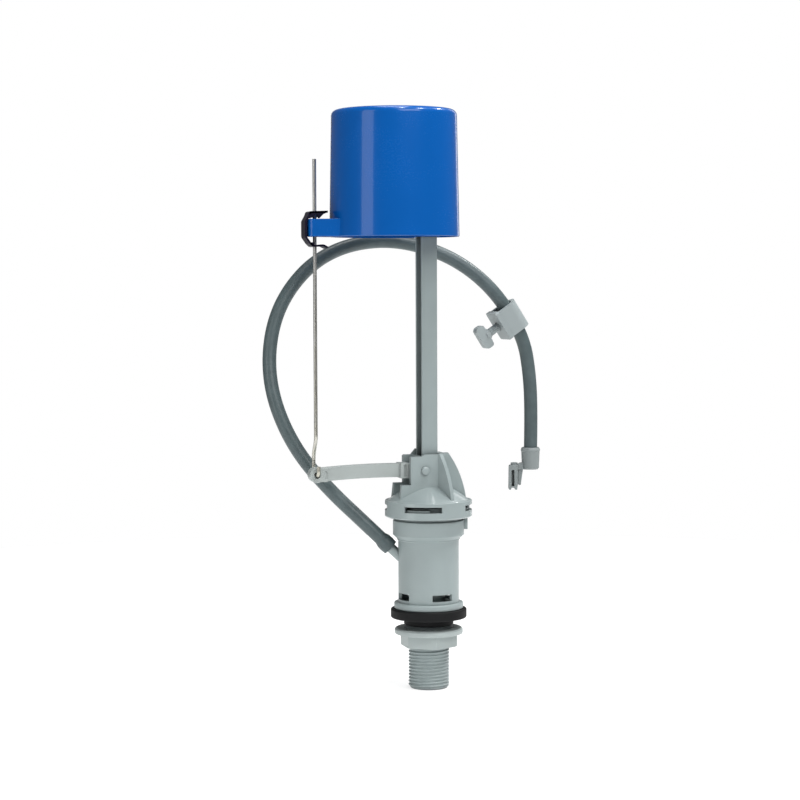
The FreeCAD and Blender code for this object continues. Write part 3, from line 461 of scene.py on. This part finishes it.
# One thread's section: how far along the pitch, and how high from root to crest.
THREAD_SHAPE = (
    (0.00, 0.0), (0.10, 0.0), (0.22, 0.30), (0.36, 0.86), (0.46, 1.0), (0.56, 1.0), (0.66, 0.86),
    (0.80, 0.30), (0.92, 0.0),
)
LINING_DEPTH = 0.6 * MM
LINING_INSET = 0.2 * MM


def thread_skin(work, low, high, crest, root, pitch, chamfer, segments=120, place=Matrix.Identity(4)):
    """Right-handed helical thread from low to high, chamfered at its lower end and run out at its
    upper. A lining under its root closes it."""
    turns = int((high - low) / pitch) + 2
    rows = [(turn + along, rise) for turn in range(-1, turns) for along, rise in THREAD_SHAPE]
    per_turn = len(THREAD_SHAPE)
    grid = []
    for turn, rise in rows:
        line = []
        for step in range(segments):
            angle = math.tau * step / segments
            height = min(high, max(low, low + pitch * (turn + step / segments)))
            radius = root + (crest - root) * rise
            radius = min(radius, crest - chamfer + (height - low), root + (high - height))
            point = Vector((radius * math.cos(angle), radius * math.sin(angle), height))
            line.append(work.verts.new(place @ point))
        grid.append(line)
    for index in range(len(rows) - 1):
        for step in range(segments - 1):
            work.faces.new((
                grid[index][step], grid[index][step + 1],
                grid[index + 1][step + 1], grid[index + 1][step],
            ))
        if index + 1 + per_turn < len(rows):
            work.faces.new((
                grid[index][-1], grid[index + per_turn][0],
                grid[index + 1 + per_turn][0], grid[index + 1][-1],
            ))
    lining = root - LINING_DEPTH
    rings = [ring(work, radius, height, segments, place) for radius, height in (
        (crest - chamfer, low), (lining, low + LINING_INSET), (lining, high - LINING_INSET), (root, high),
    )]
    for lower, upper in zip(rings, rings[1:]):
        bridge(work, lower, upper)


# The shank's foot, in mm, and its 7/8 inch - 14 thread.
SHANK_FOOT = -38.5
SHANK_PITCH = 25.4 / 14 * MM
SHANK_CREST = 11.11 * MM
SHANK_ROOT = 10.35 * MM

work = bmesh.new()
lathe(work, outline((
    (7.2, SHANK_FOOT), (9.86, SHANK_FOOT), (9.86, -38.2), (9.70, -37.9), (9.70, -6.2), (10.9, -5.4),
    (10.9, 5.2), (18.4, 5.2), (18.68, 5.32), (18.8, 5.6), (18.8, 8.1), (18.62, 8.48), (18.2, 8.6),
    (9.0, 8.6), (9.0, 56.5), (6.2, 56.5), (6.2, 5.2), (7.2, 4.2),
)))
thread_skin(work, SHANK_FOOT * MM, -5.6 * MM, SHANK_CREST, SHANK_ROOT, SHANK_PITCH, 1.3 * MM)
shank = piece("threaded_shank", work, "casing_plastic", "valve", sharp=50.0)
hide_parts("inlet_shank")


# ---------------------------------------------------------------- bead and pin head

work = bmesh.new()
lathe(work, outline((
    (16.0, 44.2), (16.9, 43.6, 0.4), (17.15, 42.8, 0.35), (16.6, 42.25, 0.2), (16.0, 42.0),
)), 128)
piece("collar_bead", work, "casing_plastic", "valve", sharp=60.0)

pin_low, pin_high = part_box("lever_pin")
at_button = Matrix.Translation((
    (pin_low.x + pin_high.x) / 2, pin_low.y, (pin_low.z + pin_high.z) / 2,
)) @ Matrix.Rotation(math.radians(90.0), 4, "X")
work = bmesh.new()
lathe(work, outline((
    (0.0, -0.6), (2.25, -0.6), (2.2, 0.75, 0.5), (1.2, 1.15, 1.5), (0.0, 1.2),
)), 48, at_button)
piece("pin_button", work, "cap_plastic", "head", sharp=50.0)


# ---------------------------------------------------------------- float

# The float's levels and its lid's radius, in mm.
FLOAT_FOOT = 206.5
FLOAT_TOP = 274.4
LID_UNDERSIDE = 273.0
LID_RADIUS = 27.0
SLEEVE_TOP = 274.7

FLOAT_X = -18.5 * MM
POST_GAP = 0.5 * MM
SLEEVE_WALL = 1.3 * MM
at_float = Matrix.Translation((FLOAT_X, 0.0, 0.0))
post_low, post_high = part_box("guide_post")
hole_x = (post_low.x + post_high.x) / 2 - FLOAT_X
half_x = (post_high.x - post_low.x) / 2 + POST_GAP
half_y = (post_high.y - post_low.y) / 2 + POST_GAP


def window(margin, radius):
    """Outline round the post's opening, that far outside it."""
    across, along = half_x + margin, half_y + margin
    return rounded([
        (hole_x - across, -along, radius), (hole_x + across, -along, radius),
        (hole_x + across, along, radius), (hole_x - across, along, radius),
    ], steps=4)


work = bmesh.new()
lathe(work, outline((
    (33.6, FLOAT_FOOT), (35.0, FLOAT_FOOT, 0.5), (33.7, FLOAT_TOP, 4.6), (LID_RADIUS, FLOAT_TOP),
    (LID_RADIUS, LID_UNDERSIDE), (32.3, LID_UNDERSIDE, 3.2),
), steps=12), 144, at_float)
slab(
    work, [circle(0, 0, LID_RADIUS * MM, 144), window(SLEEVE_WALL / 2, 1.4 * MM)],
    LID_UNDERSIDE * MM, FLOAT_TOP * MM, at_float,
)
slab(
    work, [window(SLEEVE_WALL, 1.9 * MM), window(0.0, 0.7 * MM)],
    FLOAT_FOOT * MM, SLEEVE_TOP * MM, at_float,
)
slab(work, [box_outline(-0.6, -32.6, 0.6, 32.6)], 245.0 * MM, 273.4 * MM, at_float)

# The skin and the lid each bring a wall where they meet. Without both, the top is one sheet.
inner_walls = [
    face for face in work.faces
    if all(
        abs(math.hypot(vert.co.x - FLOAT_X, vert.co.y) - LID_RADIUS * MM) < 0.01 * MM
        for vert in face.verts
    )
]
bmesh.ops.delete(work, geom=inner_walls, context="FACES")
float_shell = piece("float_shell", work, "float_plastic", "float", sharp=40.0)
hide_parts("float_cup")

rod_low, rod_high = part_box("link_rod")
ROD_X = (rod_low.x + rod_high.x) / 2
ROD_HOLE_RADIUS = 1.35 * MM
work = bmesh.new()
arm = outline((
    (-67.0, -4.7, 4.2), (-50.4, -12.4), (-49.4, -12.6), (-49.4, 12.6), (-50.4, 12.4), (-67.0, 4.7, 4.2),
))
slab(work, [arm, circle(ROD_X, 0.0, ROD_HOLE_RADIUS)], FLOAT_FOOT * MM, 215.9 * MM)
piece("float_bracket", work, "float_plastic", "float", bevel=0.45 * MM, segments=3)


# ---------------------------------------------------------------- spring clip

# Of the clip's strip and its ears, in mm.
CLIP_HALF_WIDTH = 4.7
EAR_HALF_THICKNESS = 0.35

work = bmesh.new()
clip_line = outline((
    (-56.2, 219.7), (-65.9, 219.4, 0.9), (-66.6, 217.3, 1.6), (-68.2, 214.6, 1.8), (-68.2, 206.4, 2.0),
    (-66.0, 203.2, 1.4), (-64.2, 201.5, 1.6), (-58.6, 201.9, 3.0), (-56.4, 200.7),
), closed=False)
slab(work, [ribbon(clip_line, 1.1 * MM)], -CLIP_HALF_WIDTH * MM, CLIP_HALF_WIDTH * MM, SIDE_ON)
upper_ear = outline((
    (-66.4, 219.6, 0.3), (-65.9, 216.5, 0.5), (-63.55, 216.35, 0.3), (-63.4, 218.1, 0.7),
    (-61.9, 218.1, 0.7), (-61.6, 216.2, 0.4), (-60.8, 216.2, 0.4), (-58.6, 218.4, 0.6),
    (-56.4, 219.3, 0.2), (-56.4, 219.9, 0.2),
))
lower_ear = outline((
    (-66.3, 203.4, 0.4), (-65.4, 202.0, 0.4), (-63.6, 201.4, 0.3), (-63.5, 203.6, 0.3),
))
for side in (-1, 1):
    middle = side * (CLIP_HALF_WIDTH - EAR_HALF_THICKNESS) * MM
    low, high = middle - EAR_HALF_THICKNESS * MM, middle + EAR_HALF_THICKNESS * MM
    slab(work, [upper_ear], low, high, SIDE_ON)
    slab(work, [lower_ear], low, high, SIDE_ON)
clip = piece("clip_strip", work, "clip_steel", "float", bevel=0.14 * MM)
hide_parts("level_clip")


# ---------------------------------------------------------------- hose route and its frames

HOSE_RADIUS = 3.8 * MM

# The hose's middle line, with the same points as in part.py. They were picked along the hose in the
# photograph, with guessed depths, and a fit to the photograph then moved them by up to 4 mm.
HOSE_ROUTE = (
    (-0.0204, 0.0055, 0.0385),
    (-0.0338, 0.0090, 0.0518),
    (-0.0506, 0.0135, 0.0682),
    (-0.0659, 0.0177, 0.0864),
    (-0.0756, 0.0212, 0.1044),
    (-0.0813, 0.0249, 0.1233),
    (-0.0820, 0.0293, 0.1423),
    (-0.0780, 0.0323, 0.1622),
    (-0.0687, 0.0349, 0.1793),
    (-0.0535, 0.0392, 0.1941),
    (-0.0326, 0.0449, 0.2034),
    (-0.0071, 0.0474, 0.2059),
    (0.0189, 0.0478, 0.1998),
    (0.0384, 0.0461, 0.1891),
    (0.0542, 0.0430, 0.1736),
    (0.0691, 0.0446, 0.1507),
    (0.0728, 0.0445, 0.1290),
    (0.0732, 0.0430, 0.1063),
    (0.0726, 0.0427, 0.0849),
)


def along_frame(place, ahead, up=Vector((0.0, 0.0, 1.0))):
    """A frame at that place whose Z runs ahead and whose X leans to up."""
    axis = ahead.normalized()
    lean = (up - axis * axis.dot(up)).normalized()
    turn = Matrix((lean, axis.cross(lean), axis)).transposed().to_4x4()
    return Matrix.Translation(place) @ turn


# The clamp's own frame has +Z back along the hose and +X away from the screw.
CLAMP_FROM, CLAMP_TO = Vector(HOSE_ROUTE[14]), Vector(HOSE_ROUTE[15])
at_clamp = along_frame((CLAMP_FROM + CLAMP_TO) / 2, CLAMP_FROM - CLAMP_TO)

# The connector's own frame has +Z up and -X towards the hanger.
END_TURN = math.radians(-15.0)
at_end = Matrix.Translation(HOSE_ROUTE[-1]) @ Matrix.Rotation(END_TURN, 4, "Z")
at_end_side = at_end @ SIDE_ON


# ---------------------------------------------------------------- pinch clamp and its thumbscrew

CLAMP_HALF_LENGTH = 8.2 * MM

work = bmesh.new()
slab(
    work,
    [outline([(-7.6, -6.4)] + half_round(6.4) + [(-7.6, 6.4)]),
     outline([(-7.5, -4.5, 0.8)] + half_round(4.5) + [(-7.5, 4.5, 0.8)])],
    -CLAMP_HALF_LENGTH, CLAMP_HALF_LENGTH, at_clamp,
)
slab(
    work, [box_outline(-7.2, -8.8, 7.2, 8.8, 1.4), circle(0.0, 0.0, 2.7 * MM)],
    -9.8 * MM, -7.4 * MM, at_clamp @ ACROSS,
)
clamp_body = piece("clamp_body", work, "clamp_plastic", "valve", bevel=0.5 * MM, segments=3)
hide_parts("hose_clamp")

SCREW_CREST = 2.4 * MM
SCREW_ROOT = 2.05 * MM
SCREW_PITCH = 0.8 * MM
work = bmesh.new()
at_screw = at_clamp @ Matrix.Rotation(math.radians(90.0), 4, "Y")
thread_skin(work, -18.4 * MM, -5.4 * MM, SCREW_CREST, SCREW_ROOT, SCREW_PITCH, 0.35 * MM, 40, at_screw)
lathe(work, outline(((0.0, -19.5), (2.0, -19.5), (2.0, -5.6), (1.7, -5.3), (0.0, -5.3))), 40, at_screw)
lathe(work, outline((
    (0.0, -19.0), (3.1, -19.0), (3.0, -16.4, 0.6), (1.9, -16.3), (0.0, -16.3),
)), 48, at_screw)
screw_stem = piece("clamp_screw_stem", work, "clamp_plastic", "thumbscrew", sharp=40.0)
work = bmesh.new()
wing = outline((
    (-6.8, -23.6, 2.4), (6.8, -23.6, 2.4), (6.8, -18.1, 1.6), (3.4, -17.7, 1.0), (-3.4, -17.7, 1.0),
    (-6.8, -18.1, 1.6),
), steps=8)
slab(work, [wing], -2.5 * MM, 2.5 * MM, at_clamp @ UPRIGHT)
screw_wing = piece("clamp_screw_wing", work, "clamp_plastic", "thumbscrew", bevel=1.1 * MM, segments=4)
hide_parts("clamp_screw")


# ---------------------------------------------------------------- connector at the hose's end

work = bmesh.new()
lathe(work, outline((
    (2.4, -9.6), (4.2, -9.6), (4.85, -8.7, 0.5), (5.25, 0.7), (5.45, 0.9), (5.5, 1.7, 0.3),
    (5.0, 2.9, 0.3), (4.55, 3.0, 0.2), (4.5, 0.6), (2.4, 0.2),
)), 64, at_end)
neck = outline(((-7.6, -9.6), (-3.6, -9.6), (-3.6, -5.9), (-6.0, -5.9, 1.2), (-7.6, -6.9)))
slab(work, [neck], -2.2 * MM, 2.2 * MM, at_end_side)
connector = piece("connector_barrel", work, "clamp_plastic", "valve", bevel=0.12 * MM, sharp=40.0)
look(connector, "connector_plastic")
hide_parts("hose_connector")


# ---------------------------------------------------------------- hanger for the overflow pipe

work = bmesh.new()
cheeks = outline((
    (-12.5, -21.0, 0.4), (-11.3, -21.0, 0.4), (-11.0, -19.9, 0.5), (-9.3, -19.9, 0.5), (-9.0, -21.0, 0.4),
    (-7.8, -21.0, 0.4), (-7.4, -18.0, 0.6), (-7.4, -6.6, 0.9), (-12.3, -7.4, 0.9),
))
recess = outline(((-11.0, -19.0), (-9.3, -19.0), (-9.3, -9.6, 0.7), (-11.0, -9.6, 0.7)))
tongue = outline(((-6.9, -18.6, 0.3), (-5.6, -18.6, 0.3), (-4.3, -9.4), (-6.9, -9.4)))
slab(work, [cheeks, recess], -2.2 * MM, 4.2 * MM, at_end_side)
slab(work, [cheeks], -3.4 * MM, 0.4 * MM, at_end_side)
slab(work, [tongue], -2.1 * MM, 1.4 * MM, at_end_side)
slab(work, [box_outline(-7.6, -18.0, -6.6, -7.2)], -2.0 * MM, 1.0 * MM, at_end_side)
at_boss = at_end @ Matrix.Translation((-9.3 * MM, 0.0, 0.0))
lathe(work, outline((
    (0.9, -8.4), (2.1, -8.4), (2.0, -5.7, 0.4), (0.9, -5.7), (0.9, -7.4), (0.7, -7.8),
)), 40, at_boss)
hanger = piece("hanger_clip", work, "clamp_plastic", "valve", bevel=0.25 * MM)
look(hanger, "connector_plastic")
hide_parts("overflow_hanger")


# ---------------------------------------------------------------- refill hose

def curve_piece(name, points, radius, material, body):
    """A round curve whose control points are these points."""
    line = bpy.data.curves.new(name, "CURVE")
    line.dimensions = "3D"
    line.bevel_depth = radius
    line.bevel_resolution = 10
    line.use_fill_caps = True
    line.resolution_u = 16
    spline = line.splines.new("NURBS")
    spline.points.add(len(points) - 1)
    for control, point in zip(spline.points, points):
        control.co = (*point, 1.0)
    spline.order_u = 3
    spline.use_endpoint_u = True
    spline.use_smooth = True
    tube = bpy.data.objects.new(name, line)
    bpy.context.scene.collection.objects.link(tube)
    line.materials.append(material)
    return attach(tube, body)


at_exit = along_frame(Vector(HOSE_ROUTE[0]), Vector(HOSE_ROUTE[1]) - Vector(HOSE_ROUTE[0]))
work = bmesh.new()
lathe(work, outline((
    (2.75, -0.8), (4.4, -0.8, 0.5), (4.62, 2.2, 1.0), (4.5, 4.6, 1.5), (3.88, 6.6, 1.0), (3.6, 6.9),
    (2.75, 6.9),
)), 64, at_exit)
hose_end = piece("hose_end", work, "hose_rubber", "valve", sharp=45.0)

hose = curve_piece("refill_hose_tube", HOSE_ROUTE, HOSE_RADIUS, MATERIALS["hose_rubber"], "valve")
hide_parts("refill_hose")


# ---------------------------------------------------------------- floor, light and camera

VIEW_AZIMUTH = math.radians(-15.0)
VIEW_RIGHT = Vector((math.cos(VIEW_AZIMUTH), math.sin(VIEW_AZIMUTH), 0.0))
VIEW_AHEAD = Vector((-math.sin(VIEW_AZIMUTH), math.cos(VIEW_AZIMUTH), 0.0))
CENTRE = (cad_low + cad_high) / 2
FLOOR_GAP = 0.2 * MM
FLOOR_REACH = 0.7
WHITE = (1.0, 1.0, 1.0, 1.0)


def floor_material():
    """Pale board that glows a little, so that it meets the white backdrop without an edge."""
    graph = Graph("Pale floor")
    tone = graph.mixed(graph.noise(FLOOR_CLOUDS, 2.0), (0.50, 0.50, 0.50), (0.54, 0.54, 0.54))
    graph.join(tone, graph.shader.inputs["Base Color"])
    graph.level(Roughness=0.9, Specular_IOR_Level=0.1, Emission_Color=WHITE, Emission_Strength=0.72)
    return graph.material


floor_mesh = bpy.data.meshes.new("floor")
floor_rim = [
    (CENTRE.x + FLOOR_REACH * point.x, CENTRE.y + FLOOR_REACH * point.y, cad_low.z - FLOOR_GAP)
    for point in circle(0.0, 0.0, 1.0, 128)
]
floor_mesh.from_pydata(floor_rim, [], [tuple(range(len(floor_rim)))])
floor_mesh.materials.append(floor_material())
floor = bpy.data.objects.new("floor", floor_mesh)
bpy.context.scene.collection.objects.link(floor)

# The backdrop's strength as a light, in front of the object and behind it.
WORLD_FRONT = 0.15
WORLD_BACK = 0.16


def backdrop():
    """White to the camera; as a light it is dim in front of the object and brighter behind it."""
    world = bpy.data.worlds.new("Studio")
    bpy.context.scene.world = world
    world.use_nodes = True
    tree = world.node_tree
    sky = tree.nodes["Background"]
    way = tree.nodes.new("ShaderNodeTexCoord")
    behind = tree.nodes.new("ShaderNodeVectorMath")
    behind.operation = "DOT_PRODUCT"
    behind.inputs[1].default_value = VIEW_AHEAD
    tree.links.new(way.outputs["Generated"], behind.inputs[0])
    glow = tree.nodes.new("ShaderNodeMapRange")
    glow.inputs["From Min"].default_value = -0.1
    glow.inputs["From Max"].default_value = 0.85
    glow.inputs["To Min"].default_value = WORLD_FRONT
    glow.inputs["To Max"].default_value = WORLD_BACK
    tree.links.new(behind.outputs["Value"], glow.inputs["Value"])
    ray = tree.nodes.new("ShaderNodeLightPath")
    level = tree.nodes.new("ShaderNodeMix")
    level.inputs["B"].default_value = 1.0
    tree.links.new(ray.outputs["Is Camera Ray"], level.inputs["Factor"])
    tree.links.new(glow.outputs["Result"], level.inputs["A"])
    tree.links.new(level.outputs["Result"], sky.inputs["Strength"])
    sky.inputs["Color"].default_value = WHITE


backdrop()


def softbox(name, turn, rise, distance, width, height, power):
    """A rectangular lamp aimed at the middle: turn is degrees right of the camera, rise its elevation."""
    azimuth = VIEW_AZIMUTH + math.radians(turn)
    elevation = math.radians(rise)
    lamp = bpy.data.lights.new(name, "AREA")
    lamp.shape = "RECTANGLE"
    lamp.size = width
    lamp.size_y = height
    lamp.energy = power
    away = Vector((
        math.sin(azimuth) * math.cos(elevation), -math.cos(azimuth) * math.cos(elevation),
        math.sin(elevation),
    ))
    holder = bpy.data.objects.new(name, lamp)
    bpy.context.scene.collection.objects.link(holder)
    holder.location = CENTRE + away * distance
    holder.rotation_euler = away.to_track_quat("Z", "Y").to_euler()


# Name, turn and rise in degrees, distance, width and height in metres, and power in watts.
LAMPS = (
    ("strip_left", -48.0, 6.0, 1.3, 0.50, 1.6, 5.6),
    ("high_front", 30.0, 34.0, 1.5, 0.9, 0.6, 9.5),
    ("overhead", 10.0, 98.0, 1.3, 0.50, 0.50, 5.0),
    ("spark_front", 22.0, 70.0, 1.2, 0.14, 0.10, 4.6),
    ("spark_right", 74.0, 60.0, 1.2, 0.14, 0.10, 4.6),
    ("spark_side", 122.0, 48.0, 1.2, 0.14, 0.10, 4.6),
    ("rim_right", 155.0, 8.0, 1.4, 0.16, 1.3, 1.3),
    ("rim_left", -170.0, 8.0, 1.4, 0.16, 1.3, 0.7),
)
for lamp in LAMPS:
    softbox(*lamp)

CAMERA_DISTANCE = 1.1716
CAMERA_SIDE = -0.0152
CAMERA_HEIGHT = 0.1835
CAMERA_PITCH = math.radians(3.18)
CAMERA_ROLL = math.radians(-0.22)
camera_data = bpy.data.cameras.new("camera")
camera_data.sensor_width = 36.0
camera_data.lens = 97.44
camera_data.clip_start = 0.05
camera_data.clip_end = 60.0
camera = bpy.data.objects.new("camera", camera_data)
bpy.context.scene.collection.objects.link(camera)
bpy.context.scene.camera = camera
camera.location = (
    VIEW_RIGHT * CAMERA_SIDE - VIEW_AHEAD * CAMERA_DISTANCE + Vector((0.0, 0.0, CAMERA_HEIGHT))
)
looking = VIEW_AHEAD * math.cos(CAMERA_PITCH) - Vector((0.0, 0.0, math.sin(CAMERA_PITCH)))
camera.rotation_mode = "QUATERNION"
camera.rotation_quaternion = looking.to_track_quat("-Z", "Y") @ Quaternion((0, 0, 1), CAMERA_ROLL)

bpy.context.scene.view_settings.view_transform = "Standard"
